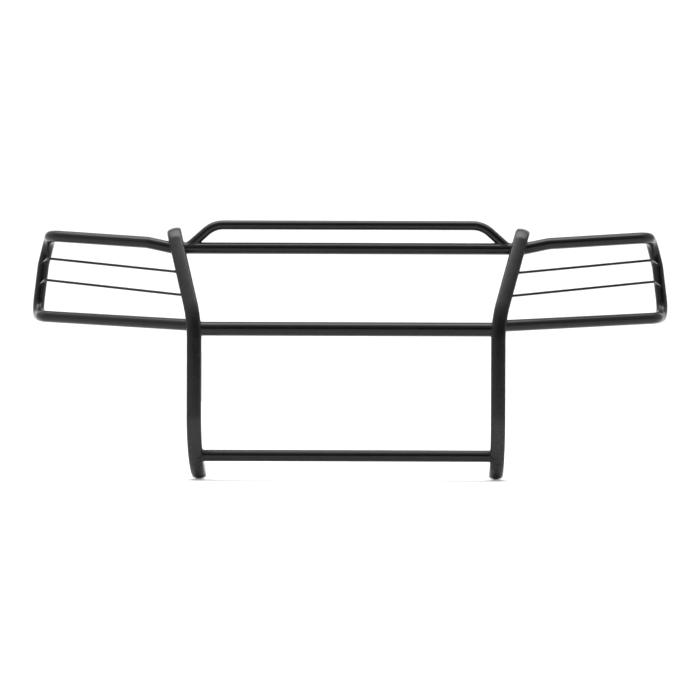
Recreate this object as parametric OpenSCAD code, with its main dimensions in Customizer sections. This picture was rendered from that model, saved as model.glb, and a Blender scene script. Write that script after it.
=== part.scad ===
// Front grille guard for a pickup truck, all welded and powder coated.
// Two open-backed channel uprights carry three crossbars, a hoop over the top
// crossbar and a wrap-around brush loop with two rods in front of each headlight.
// +X is to the right seen from in front, +Y runs back towards the truck, +Z is up.
// The origin is on the centre line at mid depth, level with the lowest point.

/* [Uprights] */
// Distance between the centre lines of the two uprights
upright_spacing = 808; // [760:1:860]
// Width of the channel across its widest point
upright_w = 39; // [36:0.5:44]
// Depth of the channel from its crown to the edges of its flanges
upright_depth = 38; // [36:1:44]
// Thickness of the pressed steel
upright_wall = 3; // [2:0.5:4]
// Radius of the gently crowned front face
crown_r = 44.75; // [40:0.25:60]
// Outer radius of the two front corners
corner_r = 7.75; // [5:0.25:10]
// Angle by which each flange leans in towards the open back
flange_toe = 5; // [0:0.5:6]

/* [Upright shape] */
// Length of the plumb stretch between the bottom curl and the top bend
plumb_len = 198; // [180:1:210]
// Radius of the bottom curl at the front face
curl_r = 185; // [150:1:220]
// Angle turned by the bottom curl
curl_angle = 75; // [60:1:80]
// Radius of the bend that leans the top back and out
lean_r = 200; // [180:1:260]
// Angle turned by that bend
lean_angle = 31; // [25:1:36]
// Direction of the lean, from straight back towards outboard
lean_roll = 29; // [20:1:40]
// Length of the straight stretch above the bend
lean_len = 202; // [180:1:220]
// Radius of the tip where the top rolls over
tip_r = 60; // [52:1:80]
// Angle turned by the tip
tip_angle = 60; // [40:1:70]

/* [Crossbars and hoop] */
// Outer diameter of the top and lower crossbars, and of the brush loops
bar_d = 31.75; // [28:0.25:36]
// Outer diameter of the middle crossbar
middle_bar_d = 38.1; // [34:0.1:38.1]
// Outer diameter of the hoop
hoop_d = 25.4; // [20:0.1:30]
// Wall thickness of every tube
tube_wall = 2; // [1.5:0.1:3]
// Height of the hoop's straight top above the top crossbar
hoop_rise = 63; // [55:1:75]
// Half of the length of the hoop's top, measured to its corners
hoop_half = 365; // [330:1:375]
// Angle by which the hoop's legs slope down
hoop_slope = 41.5; // [38:0.5:50]
// Centre line radius of the hoop's corners
hoop_r = 70; // [50:1:80]

/* [Brush loops] */
// Centre line radius of the corners at the outer end
loop_r = 50; // [44:1:52]
// Distance from the middle of the guard to the outer end tube, at its top
loop_half = 849; // [840:1:870]
// Extra distance to the outer end tube at its foot
loop_splay = 34; // [24:1:40]
// Extra distance to the slight bend in the outer end tube, above its middle
loop_bow = 17; // [14:1:22]
// Depth of the outer end tube behind the front of the uprights
loop_back = 322; // [300:1:340]
// Depth of the outer front corners behind the front of the uprights
loop_front = 229; // [216:1:240]
// Diameter of the rods in front of the headlights
rod_d = 7; // [6:0.5:9]
// Centre line radius of the hooks at the rods' outer ends
rod_r = 16; // [12:1:20]

/* [Mounting plates] */
// Width of the plate welded across the back of each channel
plate_w = 34; // [32:0.5:35]
// Height of the plate
plate_h = 130; // [120:1:140]
// Thickness of the plate
plate_t = 6; // [5:0.5:8]
// Distance between the two bolt holes in a plate
bolt_spacing = 80; // [60:1:90]
// Diameter of the bolt holes
bolt_hole_d = 13.5; // [13:0.1:14]
// Thread bore of the captive weld nuts
nut_bore_d = 10.2; // [10:0.1:11]
// Width of the weld nuts across their flats
nut_flats = 19; // [17:0.5:20]
// Height of the weld nuts
nut_h = 10; // [8:0.5:12]

/* [Hidden] */
$fn = 96;

black = [0.05, 0.05, 0.055];
zinc = [0.62, 0.62, 0.6];
BIG = 400;        // half side of the boxes that clip a bend at its two ends
SPARE = 4;        // degrees that a revolve runs past each end before it is clipped
THINNING = 0.1;   // inset of a bend's skins, so that its edges stay clear of its neighbours'
TRIM_DEPTH = 70;  // depth of the filled channel that trims the tubes at their ends
CROWN_STEPS = 4;
CORNER_STEPS = 8;

// Heights above the foot of the plumb stretch, where the bottom curl starts.
half_spacing = upright_spacing / 2;
foot_drop = curl_r * sin(curl_angle);
top_bar_z = 448;
middle_bar_z = 228;
// Depths behind the foremost line of the uprights.
top_bar_y = 124;
middle_bar_y = 26;
guard_depth = loop_back + bar_d / 2;

// How far past the foot of an upright's centre line the crossbars are drawn, before the
// channels cut them back. The uprights lean outboard, so the top crossbar is the longest.
top_bar_reach = 56;
middle_bar_reach = 1;

// The lower crossbar sits inside the bottom curl, just clear of the front face.
lower_bar_angle = 41.5;
lower_bar_gap = 1.2;
lower_bar_inset = bar_d / 2 + lower_bar_gap;
lower_bar_y = curl_r - (curl_r - lower_bar_inset) * cos(lower_bar_angle);
lower_bar_z = -(curl_r - lower_bar_inset) * sin(lower_bar_angle);

// The corners of the right-hand brush loop's centre line, from the upright round to the upright.
loop_top = [[460, 129, 445], [546, 136, 463.5], [828, loop_front, 486.5]];
loop_end = [[loop_half, loop_back, 480], [loop_half + loop_bow, loop_back, 410],
            [loop_half + loop_splay, loop_back, 270]];
loop_foot = [[850, loop_front, 263.5], [418, 26, 238]];
loop_path = concat(loop_top, loop_end, loop_foot);

// The corners of the two rods' centre lines: upright, hook, outer end tube.
upper_rod_path = [[440, 75, 379.5], [836, 235.5, 424], [870, loop_back, 414]];
lower_rod_path = [[420, 41, 316], [844, 235.5, 364.5], [877, loop_back, 353]];

// The steps that an upright makes above its plumb stretch: a run is [length],
// a bend is [radius, angle, roll], with roll measured from straight back to outboard.
straight_steps = [[plumb_len], [lean_r, lean_angle, lean_roll], [lean_len]];
upright_steps = concat(straight_steps, [[tip_r, tip_angle, 0]]);

// ---- Sweeping a flat outline along runs and bends ----

// Moves the children to the far end of a bend.
module past_bend(r, angle, roll) {
    rotate([0, 0, -roll])
        translate([0, r, 0])
        rotate([-angle, 0, 0])
        translate([0, -r, 0])
        rotate([0, 0, roll])
        children();
}

// Half of space, above or below the plane z = 0.
module half_space(side) {
    translate([-BIG, -BIG, side > 0 ? 0 : -2 * BIG])
        cube([2 * BIG, 2 * BIG, 2 * BIG]);
}

// The outline turned through an angle about an axis a radius behind it. The revolve runs
// past both ends and is cut back to them, so it meets its neighbours exactly.
module bend(r, angle, roll) {
    intersection() {
        rotate([0, 0, -roll])
            translate([0, r, 0])
            rotate([-90, 0, 0])
            rotate([0, 90, 0])
            rotate_extrude(angle = angle + 2 * SPARE, start = -angle - SPARE)
            translate([r, 0])
            rotate(90 + roll)
            children();
        half_space(1);
        past_bend(r, angle, roll) half_space(-1);
    }
}

// The first child swept along a list's runs and the second along its bends, starting upwards.
module sweep(steps, i = 0) {
    if (i < len(steps)) {
        step = steps[i];
        if (len(step) == 1) {
            linear_extrude(step[0]) children(0);
            translate([0, 0, step[0]]) sweep(steps, i + 1) {
                children(0);
                children(1);
            }
        } else {
            bend(step[0], step[1], step[2]) children(1);
            past_bend(step[0], step[1], step[2]) sweep(steps, i + 1) {
                children(0);
                children(1);
            }
        }
    }
}

// ---- Tubes bent through corners ----

function unit(v) = v / norm(v);

// Bearing and tilt that turn the +Z direction onto v.
function bearing(v) = atan2(v[1], v[0]);
function tilt(v) = acos(unit(v)[2]);

// The direction v seen from a frame whose +Z was turned by a tilt and then a bearing.
function seen_from(t, a, v) =
    let (x = v[0] * cos(a) + v[1] * sin(a))
    [x * cos(t) - v[2] * sin(t), v[1] * cos(a) - v[0] * sin(a), x * sin(t) + v[2] * cos(t)];

// The direction v seen from the frame that lies past a bend.
function seen_past(angle, roll, v) =
    let (x = v[0] * cos(roll) - v[1] * sin(roll),
         y = v[0] * sin(roll) + v[1] * cos(roll),
         back = y * cos(angle) - v[2] * sin(angle))
    [x * cos(roll) + back * sin(roll), back * cos(roll) - x * sin(roll), y * sin(angle) + v[2] * cos(angle)];

// The steps of a sweep along legs, given as vectors in the frame of the first. Each corner
// is rounded at radius r, and used is the length that the corner behind has taken.
function leg_steps(legs, r, used = 0) =
    len(legs) == 1 ? [[norm(legs[0]) - used]] :
    let (angle = tilt(legs[1]), roll = atan2(legs[1][0], legs[1][1]), cut = r * tan(angle / 2))
    concat([[norm(legs[0]) - used - cut], [r, angle, roll]],
           leg_steps([for (i = [1 : len(legs) - 1]) seen_past(angle, roll, legs[i])], r, cut));

// A tube or rod of diameter d, with its corners rounded at radius r.
module bent(path, r, d, wall) {
    first = path[1] - path[0];
    legs = [for (i = [1 : len(path) - 1]) seen_from(tilt(first), bearing(first), path[i] - path[i - 1])];
    translate(path[0])
        rotate([0, tilt(first), bearing(first)])
        sweep(leg_steps(legs, r)) {
            ring(d, wall, 0);
            ring(d, wall, THINNING);
        }
}

// The cross-section of a tube, or of a solid rod if it has no wall, with its skin inset.
module ring(d, wall, inset) {
    difference() {
        circle(d = d - 2 * inset);
        if (wall > 0) circle(d = d - 2 * wall + 2 * inset);
    }
}

// A straight tube lying along X, with its ends left open.
module crossbar(d, half_length, y, z) {
    translate([-half_length, y, z])
        rotate([0, 90, 0])
        linear_extrude(2 * half_length)
        ring(d, tube_wall, 0);
}

// ---- The channel of the uprights ----

function arc(centre, r, from, to, steps) =
    [for (i = [0 : steps]) let (a = from + (to - from) * i / steps) centre + r * [sin(a), -cos(a)]];

// Half of the channel's skin, inset from its outside: the crown from the middle outwards, the
// corner that touches the crown from inside, and the flange, which ends at a depth.
function half_skin(inset, depth) =
    let (reach = crown_r - corner_r,
         crown_end = asin((upright_w / 2 - corner_r) / reach),
         flange = 90 + flange_toe,
         corner = arc([reach * sin(crown_end), crown_r - reach * cos(crown_end)],
                      corner_r - inset, crown_end, flange, CORNER_STEPS),
         last = corner[CORNER_STEPS])
    concat(arc([0, crown_r], crown_r - inset, 0, crown_end, CROWN_STEPS),
           [for (i = [1 : CORNER_STEPS]) corner[i]],
           [last + (depth - last[1]) * [cos(flange), sin(flange)] / sin(flange)]);

// The channel's skin from the edge of one flange to the edge of the other.
function skin(inset, depth) =
    let (half = half_skin(inset, depth))
    concat([for (i = [len(half) - 1 : -1 : 1]) [-half[i][0], half[i][1]]], half);

// The channel's cross-section, with both of its skins inset.
module channel(inset) {
    outside = skin(inset, upright_depth);
    inside = skin(upright_wall - inset, upright_depth);
    polygon(concat(outside, [for (i = [len(inside) - 1 : -1 : 0]) inside[i]]));
}

// The same cross-section filled in, for trimming the tubes that end on the channel.
module filled_channel(inset) {
    polygon(skin(inset, TRIM_DEPTH));
}

// The right-hand upright's shape, through the bottom curl and the steps given.
module upright_sweep(steps) {
    translate([half_spacing, 0, 0]) {
        sweep(steps) {
            children(0);
            children(1);
        }
        mirror([0, 0, 1]) bend(curl_r, curl_angle, 0) children(1);
    }
}

// What the right-hand upright takes out of the tubes that end on it, below its tip.
module upright_trim() {
    upright_sweep(straight_steps) {
        filled_channel(0);
        filled_channel(THINNING);
    }
}

// ---- Placing ----

// Moves the guard from the foot of its plumb stretch, at the front, to its own origin.
module placed() {
    translate([0, -guard_depth / 2, foot_drop]) children();
}

module left() {
    mirror([1, 0, 0]) children();
}

// ---- Sub-parts, drawn for the right-hand side ----

module upright() {
    color(black) placed() upright_sweep(upright_steps) {
        channel(0);
        channel(THINNING);
    }
}

module crossbar_between_uprights(d, half_length, y, z) {
    color(black) placed() difference() {
        crossbar(d, half_length, y, z);
        upright_trim();
        left() upright_trim();
    }
}

module top_crossbar() {
    crossbar_between_uprights(bar_d, half_spacing + top_bar_reach, top_bar_y, top_bar_z);
}

module middle_crossbar() {
    crossbar_between_uprights(middle_bar_d, half_spacing + middle_bar_reach, middle_bar_y, middle_bar_z);
}

module lower_crossbar() {
    crossbar_between_uprights(bar_d, half_spacing, lower_bar_y, lower_bar_z);
}

// The hoop's legs are coped to sit on the top crossbar.
module top_hoop() {
    foot = hoop_half + hoop_rise / tan(hoop_slope);
    low = [foot, top_bar_y, top_bar_z];
    high = [hoop_half, top_bar_y, top_bar_z + hoop_rise];
    color(black) placed() difference() {
        bent([[-low[0], low[1], low[2]], [-high[0], high[1], high[2]], high, low],
             hoop_r, hoop_d, tube_wall);
        translate([-half_spacing, top_bar_y, top_bar_z])
            rotate([0, 90, 0])
            cylinder(d = bar_d, h = 2 * half_spacing);
        translate([-half_spacing, top_bar_y - bar_d, top_bar_z - 2 * bar_d])
            cube([2 * half_spacing, 2 * bar_d, 2 * bar_d]);
    }
}

module brush_loop() {
    color(black) placed() difference() {
        bent(loop_path, loop_r, bar_d, tube_wall);
        upright_trim();
    }
}

// A rod welded to the upright at one end and hooked onto the outer end tube at the other.
module rod(path) {
    color(black) placed() difference() {
        bent(path, rod_r, rod_d, 0);
        upright_trim();
        bent(loop_end, loop_r, bar_d, 0);
    }
}

// The plate across the back of the channel, with a hole for each bolt.
module mount_plate() {
    color(black) placed()
        translate([half_spacing, upright_depth, plumb_len / 2])
        difference() {
            translate([-plate_w / 2, 0, -plate_h / 2]) cube([plate_w, plate_t, plate_h]);
            at_bolts() cylinder(d = bolt_hole_d, h = 3 * plate_t, center = true);
        }
}

module at_bolts() {
    for (side = [-1, 1])
        translate([0, 0, side * bolt_spacing / 2])
            rotate([90, 0, 0])
            children();
}

// The nuts are welded to the front of the plate, inside the channel.
module weld_nuts() {
    color(zinc) placed()
        translate([half_spacing, upright_depth, plumb_len / 2])
        at_bolts()
        difference() {
            cylinder(d = nut_flats / cos(30), h = nut_h, $fn = 6);
            translate([0, 0, -1]) cylinder(d = nut_bore_d, h = nut_h + 2);
        }
}

left() upright();  // upright_left
upright();  // upright_right
top_crossbar();
middle_crossbar();
lower_crossbar();
top_hoop();
left() brush_loop();  // brush_loop_left
brush_loop();  // brush_loop_right
left() rod(upper_rod_path);  // upper_rod_left
rod(upper_rod_path);  // upper_rod_right
left() rod(lower_rod_path);  // lower_rod_left
rod(lower_rod_path);  // lower_rod_right
left() mount_plate();  // mount_plate_left
mount_plate();  // mount_plate_right
left() weld_nuts();  // weld_nuts_left
weld_nuts();  // weld_nuts_right
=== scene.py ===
"""Looks of the front grille guard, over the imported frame.

Sizes are in millimetres, and to_frame() moves them to the frame's metres and origin. The axes
are the frame's own: +X to the right seen from in front, +Y back towards the truck, +Z up. Tubes
and uprights are swept at a finer grain than the CAD solids that they stand for, and each joint
gets its weld bead. The mount plates and their nuts stay CAD nodes and only get a material.
"""
import math

import bmesh
import bpy
from mathutils import Matrix, Vector
from mathutils.bvhtree import BVHTree


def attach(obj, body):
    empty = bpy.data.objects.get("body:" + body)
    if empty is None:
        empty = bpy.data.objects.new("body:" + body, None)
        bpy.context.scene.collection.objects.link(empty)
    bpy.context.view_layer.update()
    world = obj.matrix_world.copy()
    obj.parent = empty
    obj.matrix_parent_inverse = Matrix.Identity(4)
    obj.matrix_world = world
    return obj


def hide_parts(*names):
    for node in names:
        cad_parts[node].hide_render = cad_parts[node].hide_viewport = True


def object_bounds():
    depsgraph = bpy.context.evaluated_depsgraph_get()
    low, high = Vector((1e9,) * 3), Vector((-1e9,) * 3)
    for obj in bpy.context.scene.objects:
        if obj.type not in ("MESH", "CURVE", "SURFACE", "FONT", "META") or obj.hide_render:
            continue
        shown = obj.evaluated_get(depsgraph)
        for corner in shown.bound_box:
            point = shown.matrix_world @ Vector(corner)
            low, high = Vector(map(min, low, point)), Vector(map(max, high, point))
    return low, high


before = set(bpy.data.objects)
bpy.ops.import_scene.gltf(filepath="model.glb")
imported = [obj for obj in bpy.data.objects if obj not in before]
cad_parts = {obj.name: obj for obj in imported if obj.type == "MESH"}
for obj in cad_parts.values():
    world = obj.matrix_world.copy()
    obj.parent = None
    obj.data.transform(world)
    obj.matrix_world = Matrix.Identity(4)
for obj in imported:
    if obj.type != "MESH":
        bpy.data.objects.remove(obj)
cad_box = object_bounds()

MM = 0.001

# ---- Sizes of the guard, in millimetres, with heights from the foot of the plumb stretch and
# ---- depths from the front of the uprights ----

HALF_SPACING = 404
UPRIGHT_W = 39
UPRIGHT_DEPTH = 38
UPRIGHT_WALL = 3
CROWN_R = 44.75
CORNER_R = 7.75
FLANGE = math.radians(90 + 5)  # direction that a flange's skin faces

PLUMB_LEN = 198
CURL_R, CURL_ANGLE = 185, math.radians(75)
LEAN_R, LEAN_ANGLE, LEAN_ROLL = 200, math.radians(31), math.radians(29)
LEAN_LEN = 202
TIP_R, TIP_ANGLE = 60, math.radians(60)

BAR_D, MIDDLE_BAR_D, HOOP_D, ROD_D = 31.75, 38.1, 25.4, 7
TOP_BAR = Vector((0, 124, 448))
MIDDLE_BAR = Vector((0, 26, 228))
LOWER_BAR_ANGLE = math.radians(41.5)
LOWER_BAR_R = CURL_R - BAR_D / 2 - 1.2
LOWER_BAR = Vector((0, CURL_R - LOWER_BAR_R * math.cos(LOWER_BAR_ANGLE),
                    -LOWER_BAR_R * math.sin(LOWER_BAR_ANGLE)))

HOOP_HALF, HOOP_RISE, HOOP_SLOPE, HOOP_R = 365, 63, math.radians(41.5), 70
LOOP_R, LOOP_BACK, LOOP_FRONT = 50, 322, 229
LOOP_PATH = [Vector(p) for p in (
    (460, 129, 445), (546, 136, 463.5), (828, LOOP_FRONT, 486.5), (849, LOOP_BACK, 480),
    (866, LOOP_BACK, 410), (883, LOOP_BACK, 270), (850, LOOP_FRONT, 263.5), (418, 26, 238))]
ROD_R = 16
UPPER_ROD = [Vector(p) for p in ((440, 75, 379.5), (836, 235.5, 424), (870, LOOP_BACK, 414))]
LOWER_ROD = [Vector(p) for p in ((420, 41, 316), (844, 235.5, 364.5), (877, LOOP_BACK, 353))]

ORIGIN = Vector((0, (LOOP_BACK + BAR_D / 2) / 2, -CURL_R * math.sin(CURL_ANGLE)))


def to_frame(p):
    """A point of the guard in millimetres, moved to the frame's origin and metres."""
    return (p - ORIGIN) * MM


def mirrored(p):
    return Vector((-p.x, p.y, p.z))


# ---- Mesh building ----

def new_piece(name, bm, slot, nodes=(), sharp_angle=math.radians(35)):
    """Makes an object of a bmesh, shaded smooth with its sharp edges kept, riding on the guard."""
    bmesh.ops.recalc_face_normals(bm, faces=bm.faces)
    for face in bm.faces:
        face.smooth = True
    for edge in bm.edges:
        edge.smooth = len(edge.link_faces) == 2 and edge.calc_face_angle() < sharp_angle
    mesh = bpy.data.meshes.new(name)
    bm.to_mesh(mesh)
    bm.free()
    piece = bpy.data.objects.new(name, mesh)
    bpy.context.collection.objects.link(piece)
    mesh.materials.append(COATS[slot])
    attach(piece, "root")
    if nodes:
        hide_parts(*nodes)


def skin_between(bm, rings, closed=False):
    """Quads from each ring of vertices to the next."""
    pairs = list(zip(rings, rings[1:]))
    if closed:
        pairs.append((rings[-1], rings[0]))
    for a, b in pairs:
        for i in range(len(a)):
            j = (i + 1) % len(a)
            bm.faces.new((a[i], a[j], b[j], b[i]))


def fan_cap(bm, ring):
    centre = bm.verts.new(sum((v.co for v in ring), Vector()) / len(ring))
    for i, v in enumerate(ring):
        bm.faces.new((centre, v, ring[(i + 1) % len(ring)]))


def rounded(points, radius, step=math.radians(3)):
    """The points of a path of straight legs whose corners are rounded at a radius."""
    path = [points[0]]
    for before, corner, after in zip(points, points[1:], points[2:]):
        back, on = (before - corner).normalized(), (after - corner).normalized()
        turn = math.pi - back.angle(on)
        centre = corner + (back + on).normalized() * radius / math.cos(turn / 2)
        spoke = corner + back * radius * math.tan(turn / 2) - centre
        axis = on.cross(back)
        count = math.ceil(turn / step)
        path += [centre + Matrix.Rotation(turn * i / count, 3, axis) @ spoke
                 for i in range(count + 1)]
    return path + [points[-1]]


def tangents(path, closed=False):
    n = len(path)
    if closed:
        return [(path[(i + 1) % n] - path[i - 1]).normalized() for i in range(n)]
    return [(path[min(i + 1, n - 1)] - path[max(i - 1, 0)]).normalized() for i in range(n)]


def tube_rings(path, radius, segments):
    """Rings of points round a path, carried along it without twist."""
    along = tangents(path)
    side = along[0].orthogonal().normalized()
    rings = []
    for i, (centre, tangent) in enumerate(zip(path, along)):
        if i:
            side = along[i - 1].rotation_difference(tangent) @ side
        up = tangent.cross(side)
        rings.append([centre + radius * (math.cos(a) * side + math.sin(a) * up)
                      for a in (2 * math.pi * k / segments for k in range(segments))])
    return rings


def coped(ring, inner_ring, surface, sink=0.4 * MM):
    """The end ring run on along the tube until each point meets a surface and sinks in a little."""
    out = []
    for point, start in zip(ring, inner_ring):
        way = (point - start).normalized()
        hit = surface.ray_cast(start, way)[0]
        out.append(hit + way * sink if hit else point)
    return out


TUBE_SEGMENTS, ROD_SEGMENTS = 72, 32


def tube(name, path, diameter, slot, start_on, end_on, segments=TUBE_SEGMENTS):
    """A tube along a path in millimetres, whose ends are coped onto the surfaces given.

    Returns its surface and its two end rings, for what is welded to it.
    """
    rings = tube_rings([to_frame(p) for p in path], diameter / 2 * MM, segments)
    rings[0] = coped(rings[0], rings[1], start_on)
    rings[-1] = coped(rings[-1], rings[-2], end_on)
    bm = bmesh.new()
    made = [[bm.verts.new(p) for p in ring] for ring in rings]
    skin_between(bm, made)
    fan_cap(bm, made[0])
    fan_cap(bm, made[-1])
    surface = BVHTree.FromBMesh(bm)
    new_piece(name, bm, slot, nodes=(name,))
    return surface, rings[0], rings[-1]


FEWEST_POINTS = 12   # of a weld bead's line
TINY = 1e-9          # metres, keeps a step of no length from dividing by zero


def evenly(points, spacing):
    """A closed loop's points, spread again at an even spacing."""
    loop = points + [points[0]]
    lengths = [0.0]
    for a, b in zip(loop, loop[1:]):
        lengths.append(lengths[-1] + (b - a).length)
    count = max(FEWEST_POINTS, round(lengths[-1] / spacing))
    out, i = [], 0
    for k in range(count):
        s = lengths[-1] * k / count
        while lengths[i + 1] < s:
            i += 1
        step = max(lengths[i + 1] - lengths[i], TINY)
        out.append(loop[i].lerp(loop[i + 1], (s - lengths[i]) / step))
    return out


BEAD_PITCH = 2.6 * MM  # length of one ripple of a weld
BEAD_SIDES = 14
RIPPLE_STEPS = 6       # rings of points in one ripple
RIPPLE_BOW = 0.9       # how far each ripple bows forwards, in radians of its phase
RIPPLE_LOW, RIPPLE_RISE = 0.88, 0.14
SLOW_SWAY, SLOW_RATE = 0.06, 0.071    # the hand's unsteadiness: share of the radius, radians a ring
QUICK_SWAY, QUICK_RATE = 0.04, 0.193


def bead(name, line, radius, slot):
    """A weld bead round a closed line of points: overlapping ripples, each bowed forwards."""
    line = evenly(line, BEAD_PITCH / RIPPLE_STEPS)
    middle = sum(line, Vector()) / len(line)
    bm = bmesh.new()
    rings = []
    for k, (centre, tangent) in enumerate(zip(line, tangents(line, closed=True))):
        out = (centre - middle) - (centre - middle).dot(tangent) * tangent
        out.normalize()
        up = tangent.cross(out)
        sway = 1 + SLOW_SWAY * math.sin(k * SLOW_RATE) + QUICK_SWAY * math.sin(k * QUICK_RATE + 1)
        ring = []
        for j in range(BEAD_SIDES):
            a = 2 * math.pi * j / BEAD_SIDES
            ripple = abs(math.sin(math.pi * (k / RIPPLE_STEPS) + RIPPLE_BOW * math.cos(a)))
            r = radius * sway * (RIPPLE_LOW + RIPPLE_RISE * ripple)
            ring.append(bm.verts.new(centre + r * (math.cos(a) * out + math.sin(a) * up)))
        rings.append(ring)
    skin_between(bm, rings, closed=True)
    new_piece(name, bm, slot, sharp_angle=math.pi)


# ---- Materials ----

def blank_material(name):
    """A new material, with its shader, its nodes and links, and a place that stays on the piece."""
    material = bpy.data.materials.new(name)
    material.use_nodes = True
    nodes, links = material.node_tree.nodes, material.node_tree.links
    place = nodes.new("ShaderNodeTexCoord").outputs["Object"]
    return material, nodes["Principled BSDF"], nodes, links, place


def noise(nodes, scale, detail):
    texture = nodes.new("ShaderNodeTexNoise")
    texture.inputs["Scale"].default_value = scale
    texture.inputs["Detail"].default_value = detail
    return texture


def bump(nodes, strength, distance):
    relief = nodes.new("ShaderNodeBump")
    relief.inputs["Strength"].default_value = strength
    relief.inputs["Distance"].default_value = distance
    return relief


def spread(nodes, low, high):
    """A node that spreads a texture's 0 to 1 over a range."""
    node = nodes.new("ShaderNodeMapRange")
    node.inputs["To Min"].default_value = low
    node.inputs["To Max"].default_value = high
    return node


MOTTLE_SCALE = 38         # blotches of colour and gloss, per metre
GRIT_FINENESS = 5         # how much smaller the grit is than the orange peel
GRIT_SHALLOWNESS = 4      # how much shallower it is
GLOSS_BELOW, GLOSS_ABOVE = 0.05, 0.07  # how far the roughness strays from its middle


def coat_material(name, level, roughness, peel_size, peel_depth):
    """Gloss powder coat: a nearly black film with orange peel, faint mottling and varying gloss."""
    material, shader, nodes, links, place = blank_material(name)
    shader.inputs["Specular IOR Level"].default_value = level
    shader.inputs["Coat Weight"].default_value = 0.05
    shader.inputs["Coat Roughness"].default_value = 0.12

    mottle = noise(nodes, MOTTLE_SCALE, 4)
    colour = nodes.new("ShaderNodeValToRGB")
    colour.color_ramp.elements[0].position = 0.35
    colour.color_ramp.elements[0].color = (*BLACK, 1)
    colour.color_ramp.elements[1].position = 0.7
    colour.color_ramp.elements[1].color = (*LIFTED, 1)
    gloss = spread(nodes, roughness - GLOSS_BELOW, roughness + GLOSS_ABOVE)
    peel = noise(nodes, 1 / (peel_size * MM), 2)
    grit = noise(nodes, GRIT_FINENESS / (peel_size * MM), 1)
    soft = bump(nodes, 1, peel_depth * MM)
    fine = bump(nodes, 0.5, peel_depth * MM / GRIT_SHALLOWNESS)

    for texture in (mottle, peel, grit):
        links.new(place, texture.inputs["Vector"])
    links.new(mottle.outputs["Fac"], colour.inputs["Fac"])
    links.new(mottle.outputs["Fac"], gloss.inputs["Value"])
    links.new(peel.outputs["Fac"], soft.inputs["Height"])
    links.new(grit.outputs["Fac"], fine.inputs["Height"])
    links.new(soft.outputs["Normal"], fine.inputs["Normal"])
    links.new(colour.outputs["Color"], shader.inputs["Base Color"])
    links.new(gloss.outputs["Result"], shader.inputs["Roughness"])
    links.new(fine.outputs["Normal"], shader.inputs["Normal"])
    return material


def zinc_material():
    """Bright zinc plate with a faint crystalline mottle."""
    material, shader, nodes, links, place = blank_material("nut_zinc")
    shader.inputs["Metallic"].default_value = 1
    spangle = nodes.new("ShaderNodeTexVoronoi")
    spangle.inputs["Scale"].default_value = 900
    colour = nodes.new("ShaderNodeValToRGB")
    colour.color_ramp.elements[0].color = (0.5, 0.5, 0.47, 1)
    colour.color_ramp.elements[1].color = (0.72, 0.71, 0.66, 1)
    gloss = spread(nodes, 0.28, 0.45)
    relief = bump(nodes, 0.1, 0.05 * MM)
    links.new(place, spangle.inputs["Vector"])
    links.new(spangle.outputs["Distance"], colour.inputs["Fac"])
    links.new(spangle.outputs["Distance"], gloss.inputs["Value"])
    links.new(spangle.outputs["Distance"], relief.inputs["Height"])
    links.new(colour.outputs["Color"], shader.inputs["Base Color"])
    links.new(gloss.outputs["Result"], shader.inputs["Roughness"])
    links.new(relief.outputs["Normal"], shader.inputs["Normal"])
    return material


BLACK = (0.0025, 0.0025, 0.0028)
LIFTED = (0.0045, 0.0045, 0.005)
COATS = {
    "upright_coat": coat_material("upright_coat", level=0.32, roughness=0.26,
                                  peel_size=1.6, peel_depth=0.012),
    "tube_coat": coat_material("tube_coat", level=0.25, roughness=0.17,
                               peel_size=1.4, peel_depth=0.010),
    "rod_coat": coat_material("rod_coat", level=0.25, roughness=0.18,
                              peel_size=1.0, peel_depth=0.008),
    "plate_coat": coat_material("plate_coat", level=0.30, roughness=0.34,
                                peel_size=1.8, peel_depth=0.020),
    "nut_zinc": zinc_material(),
}

# ---- Uprights ----

CROWN_STEPS, CORNER_STEPS = 7, 12
EDGE_R, EDGE_STEPS = 0.6, 4               # rounding of the sheet's cut edges
CURL_STEP, LEAN_STEP, TIP_STEP = 2.5, 2, 4  # degrees from one section of a bend to the next


def arc(centre, r, start, end, steps):
    return [centre + r * Vector((math.sin(a), -math.cos(a)))
            for a in (start + (end - start) * i / steps for i in range(steps + 1))]


def half_skin(inset, depth):
    """Half of the channel's skin from the middle of the crown round to the flange's edge."""
    reach = CROWN_R - CORNER_R
    crown_end = math.asin((UPRIGHT_W / 2 - CORNER_R) / reach)
    corner = arc(Vector((reach * math.sin(crown_end), CROWN_R - reach * math.cos(crown_end))),
                 CORNER_R - inset, crown_end, FLANGE, CORNER_STEPS)
    last = corner[-1]
    edge = last + Vector((math.cos(FLANGE), math.sin(FLANGE))) * (depth - last.y) / math.sin(FLANGE)
    crown = arc(Vector((0, CROWN_R)), CROWN_R - inset, 0, crown_end, CROWN_STEPS)
    return crown + corner[1:] + [edge]


def channel_outline(inset):
    """The channel's cross-section, inset all round, with its two cut edges rounded."""
    outer = half_skin(inset, UPRIGHT_DEPTH - EDGE_R - inset)
    inner = half_skin(UPRIGHT_WALL - inset, UPRIGHT_DEPTH - EDGE_R - inset)
    a, b = outer[-1], inner[-1]
    inwards = (b - a).normalized()
    back = Vector((math.cos(FLANGE), math.sin(FLANGE)))
    turns = [math.pi / 2 * i / EDGE_STEPS for i in range(1, EDGE_STEPS + 1)]
    round_out = [a + EDGE_R * ((1 - math.cos(t)) * inwards + math.sin(t) * back) for t in turns]
    round_in = [b + EDGE_R * ((math.cos(t) - 1) * inwards + math.sin(t) * back)
                for t in reversed(turns)]
    right = outer + round_out + round_in + inner[::-1]
    return right + [Vector((-p.x, p.y)) for p in reversed(right)][1:-1]


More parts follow.
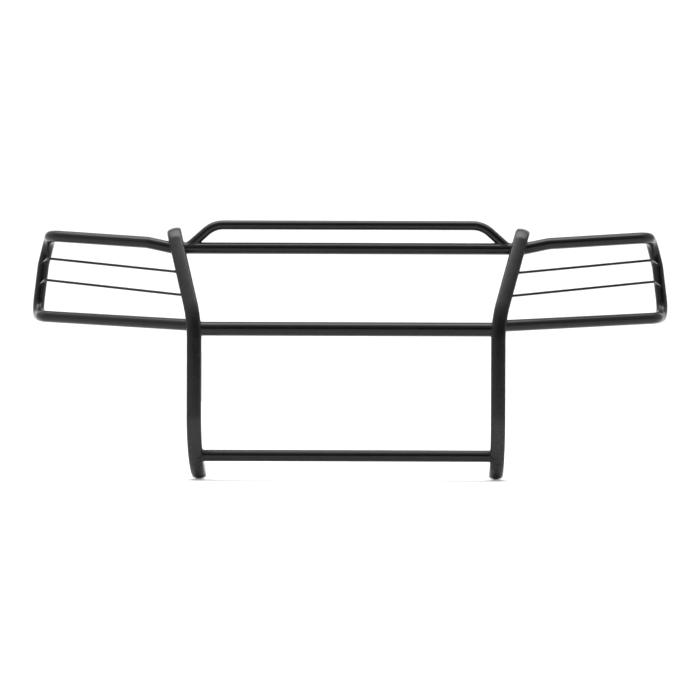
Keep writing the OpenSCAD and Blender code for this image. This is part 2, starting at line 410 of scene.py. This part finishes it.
def past_bend(r, angle, roll):
    """The frame at the far end of a bend of the upright."""
    return (Matrix.Rotation(-roll, 4, "Z") @ Matrix.Translation((0, r, 0))
            @ Matrix.Rotation(-angle, 4, "X") @ Matrix.Translation((0, -r, 0))
            @ Matrix.Rotation(roll, 4, "Z"))


def upright_frames():
    """Frames along the right-hand upright, from the end of its bottom curl to its tip."""
    def angles(total, step):
        count = math.ceil(total / math.radians(step))
        return [total * i / count for i in range(count + 1)]

    foot = Matrix.Translation((HALF_SPACING, 0, 0))
    frames = [foot @ past_bend(CURL_R, -a, 0) for a in reversed(angles(CURL_ANGLE, CURL_STEP))]
    bend = foot @ Matrix.Translation((0, 0, PLUMB_LEN))
    frames += [bend @ past_bend(LEAN_R, a, LEAN_ROLL) for a in angles(LEAN_ANGLE, LEAN_STEP)]
    tip = frames[-1] @ Matrix.Translation((0, 0, LEAN_LEN))
    return frames + [tip @ past_bend(TIP_R, a, 0) for a in angles(TIP_ANGLE, TIP_STEP)]


def upright(name, mirror):
    """A pressed channel swept along its frames, with its cut ends eased. Returns its surface."""
    frames = upright_frames()
    ease = Matrix.Translation((0, 0, EDGE_R))
    inner_end, outer_end = frames[0] @ ease, frames[-1] @ ease.inverted()
    sections = [(frames[0], EDGE_R / 2), (inner_end, 0)]
    sections += [(f, 0) for f in frames[1:-1]]
    sections += [(outer_end, 0), (frames[-1], EDGE_R / 2)]
    bm = bmesh.new()
    rings = []
    for section, inset in sections:
        points = [to_frame(section @ Vector((p.x, p.y, 0))) for p in channel_outline(inset)]
        rings.append([bm.verts.new(mirrored(p) if mirror else p) for p in points])
    skin_between(bm, rings)
    bm.faces.new(rings[0])
    bm.faces.new(rings[-1])
    surface = BVHTree.FromBMesh(bm)
    new_piece(name, bm, "upright_coat", nodes=(name,))
    return surface


SIDES = {"left": True, "right": False}
uprights = {side: upright("upright_" + side, flip) for side, flip in SIDES.items()}

# ---- Crossbars and hoop ----

WELD_R, ROD_WELD_R = 2.3 * MM, 1.8 * MM
HOOP_WELD_R = WELD_R * 0.85

# Half lengths of the bars before their ends are coped onto the uprights
TOP_BAR_HALF = HALF_SPACING + 40
LOW_BARS_HALF = HALF_SPACING - 22


def crossbar(name, middle, diameter, half_length):
    path = [middle + Vector((half_length * share, 0, 0)) for share in (-1, -0.5, 0, 0.5, 1)]
    surface, left_ring, right_ring = tube(name, path, diameter, "tube_coat",
                                          start_on=uprights["left"], end_on=uprights["right"])
    bead("weld_%s_left" % name, left_ring, WELD_R, "tube_coat")
    bead("weld_%s_right" % name, right_ring, WELD_R, "tube_coat")
    return surface


top_bar = crossbar("top_crossbar", TOP_BAR, BAR_D, TOP_BAR_HALF)
crossbar("middle_crossbar", MIDDLE_BAR, MIDDLE_BAR_D, LOW_BARS_HALF)
crossbar("lower_crossbar", LOWER_BAR, BAR_D, LOW_BARS_HALF)

foot_x = HOOP_HALF + HOOP_RISE / math.tan(HOOP_SLOPE)
hoop_corners = [TOP_BAR + Vector(p) for p in (
    (-foot_x, 0, 0), (-HOOP_HALF, 0, HOOP_RISE), (HOOP_HALF, 0, HOOP_RISE), (foot_x, 0, 0))]
_, left_foot, right_foot = tube("top_hoop", rounded(hoop_corners, HOOP_R), HOOP_D, "tube_coat",
                                start_on=top_bar, end_on=top_bar)
bead("weld_top_hoop_left", left_foot, HOOP_WELD_R, "tube_coat")
bead("weld_top_hoop_right", right_foot, HOOP_WELD_R, "tube_coat")

# ---- Brush loops and rods ----

for side, flip in SIDES.items():
    def on_side(path):
        return [mirrored(p) for p in path] if flip else path

    loop, top_end, foot_end = tube("brush_loop_" + side, on_side(rounded(LOOP_PATH, LOOP_R)), BAR_D,
                                   "tube_coat", start_on=uprights[side], end_on=uprights[side])
    bead("weld_brush_loop_top_" + side, top_end, WELD_R, "tube_coat")
    bead("weld_brush_loop_foot_" + side, foot_end, WELD_R, "tube_coat")
    for name, path in (("upper_rod_", UPPER_ROD), ("lower_rod_", LOWER_ROD)):
        _, inner_end, outer_end = tube(name + side, on_side(rounded(path, ROD_R)), ROD_D, "rod_coat",
                                       start_on=uprights[side], end_on=loop,
                                       segments=ROD_SEGMENTS)
        bead("weld_%s%s_inner" % (name, side), inner_end, ROD_WELD_R, "rod_coat")
        bead("weld_%s%s_outer" % (name, side), outer_end, ROD_WELD_R, "rod_coat")

# ---- Carried-over CAD nodes ----

for side in SIDES:
    for node, slot in (("mount_plate_", "plate_coat"), ("weld_nuts_", "nut_zinc")):
        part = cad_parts[node + side]
        part.data.materials.clear()
        part.data.materials.append(COATS[slot])

# ---- Floor, light and camera ----

def stage_material():
    material = bpy.data.materials.new("studio_floor")
    material.use_nodes = True
    shader = material.node_tree.nodes["Principled BSDF"]
    shader.inputs["Base Color"].default_value = (0.9, 0.9, 0.9, 1)
    shader.inputs["Roughness"].default_value = 0.9
    return material


SWEEP_STEPS = 24


def backdrop(half_width=6, front=-7, back=2.2, sweep=1.2, top=4.5):
    """A pale floor that curves up behind the guard, and so hides it from a camera behind the wall."""
    profile = [(front, 0)]
    profile += [(back + sweep * math.sin(a), sweep * (1 - math.cos(a)))
                for a in (math.pi / 2 * i / SWEEP_STEPS for i in range(SWEEP_STEPS + 1))]
    profile.append((back + sweep, top))
    mesh = bpy.data.meshes.new("backdrop")
    verts = [(x, y, z) for y, z in profile for x in (-half_width, half_width)]
    faces = [(2 * i, 2 * i + 1, 2 * i + 3, 2 * i + 2) for i in range(len(profile) - 1)]
    mesh.from_pydata(verts, [], faces)
    for face in mesh.polygons:
        face.use_smooth = True
    mesh.materials.append(stage_material())
    floor = bpy.data.objects.new("backdrop", mesh)
    bpy.context.collection.objects.link(floor)


def softbox(name, place, target, size, watts):
    light = bpy.data.lights.new(name, "AREA")
    light.shape = "RECTANGLE"
    light.size, light.size_y = size
    light.energy = watts
    lamp = bpy.data.objects.new(name, light)
    lamp.location = place
    lamp.rotation_euler = (Vector(target) - Vector(place)).to_track_quat("-Z", "Y").to_euler()
    bpy.context.collection.objects.link(lamp)


backdrop()
softbox("overhead", place=(0, 0.2, 2.6), target=(0, 0, 0.4), size=(4.5, 1.2), watts=30)
softbox("wash", place=(0, -0.6, 3.6), target=(0, 3.0, 0.9), size=(5, 1.2), watts=72)

# The room's brightness by height and by side, each from -1 to 1: it is dim at eye level in front,
# bright overhead, and has a pale wall at each side, the left one reaching further round.
BY_HEIGHT = ((-1, 0.15), (0, 0.05), (0.3, 0.1), (0.6, 0.4), (0.8, 0.9), (0.9, 1.7), (1, 3.5))
BY_SIDE = ((-1, 1.1), (0, 0), (0.6, 0.1), (1, 1.0))


def brightness_ramp(nodes, links, coordinate, stops):
    """The brightness that a list of stops gives along one coordinate of the view direction."""
    span = nodes.new("ShaderNodeMapRange")
    span.inputs["From Min"].default_value = -1
    ramp = nodes.new("ShaderNodeValToRGB")
    while len(ramp.color_ramp.elements) < len(stops):
        ramp.color_ramp.elements.new(0.5)
    for element, (place, level) in zip(ramp.color_ramp.elements, stops):
        element.position = (place + 1) / 2
        element.color = (level, level, level, 1)
    links.new(coordinate, span.inputs["Value"])
    links.new(span.outputs["Result"], ramp.inputs["Fac"])
    return ramp.outputs["Color"]


world = bpy.data.worlds.new("studio")
bpy.context.scene.world = world
world.use_nodes = True
nodes, links = world.node_tree.nodes, world.node_tree.links
direction = nodes.new("ShaderNodeTexCoord")
parts = nodes.new("ShaderNodeSeparateXYZ")
links.new(direction.outputs["Generated"], parts.inputs["Vector"])
total = nodes.new("ShaderNodeVectorMath")
links.new(brightness_ramp(nodes, links, parts.outputs["Z"], BY_HEIGHT), total.inputs[0])
links.new(brightness_ramp(nodes, links, parts.outputs["X"], BY_SIDE), total.inputs[1])
links.new(total.outputs["Vector"], nodes["Background"].inputs["Color"])
bpy.context.scene.view_settings.view_transform = "Standard"

VIEW_DISTANCE = 5.0   # metres from the front of the uprights
VIEW_OFFSET = 0.1855  # sideways from the guard's middle
VIEW_HEIGHT = 0.3517
TILT = math.radians(0.18)
LENS = 97.04          # millimetres, on the default sensor
SHIFT = -0.0943       # sideways, as a share of the frame

camera_data = bpy.data.cameras.new("camera")
camera_data.lens = LENS
camera_data.shift_x = SHIFT
camera = bpy.data.objects.new("camera", camera_data)
camera.location = (VIEW_OFFSET, cad_box[0][1] - VIEW_DISTANCE, VIEW_HEIGHT)
level = Matrix.Rotation(math.pi / 2, 3, "X")
camera.rotation_euler = (level @ Matrix.Rotation(TILT, 3, "Z")).to_euler()
bpy.context.collection.objects.link(camera)
bpy.context.scene.camera = camera
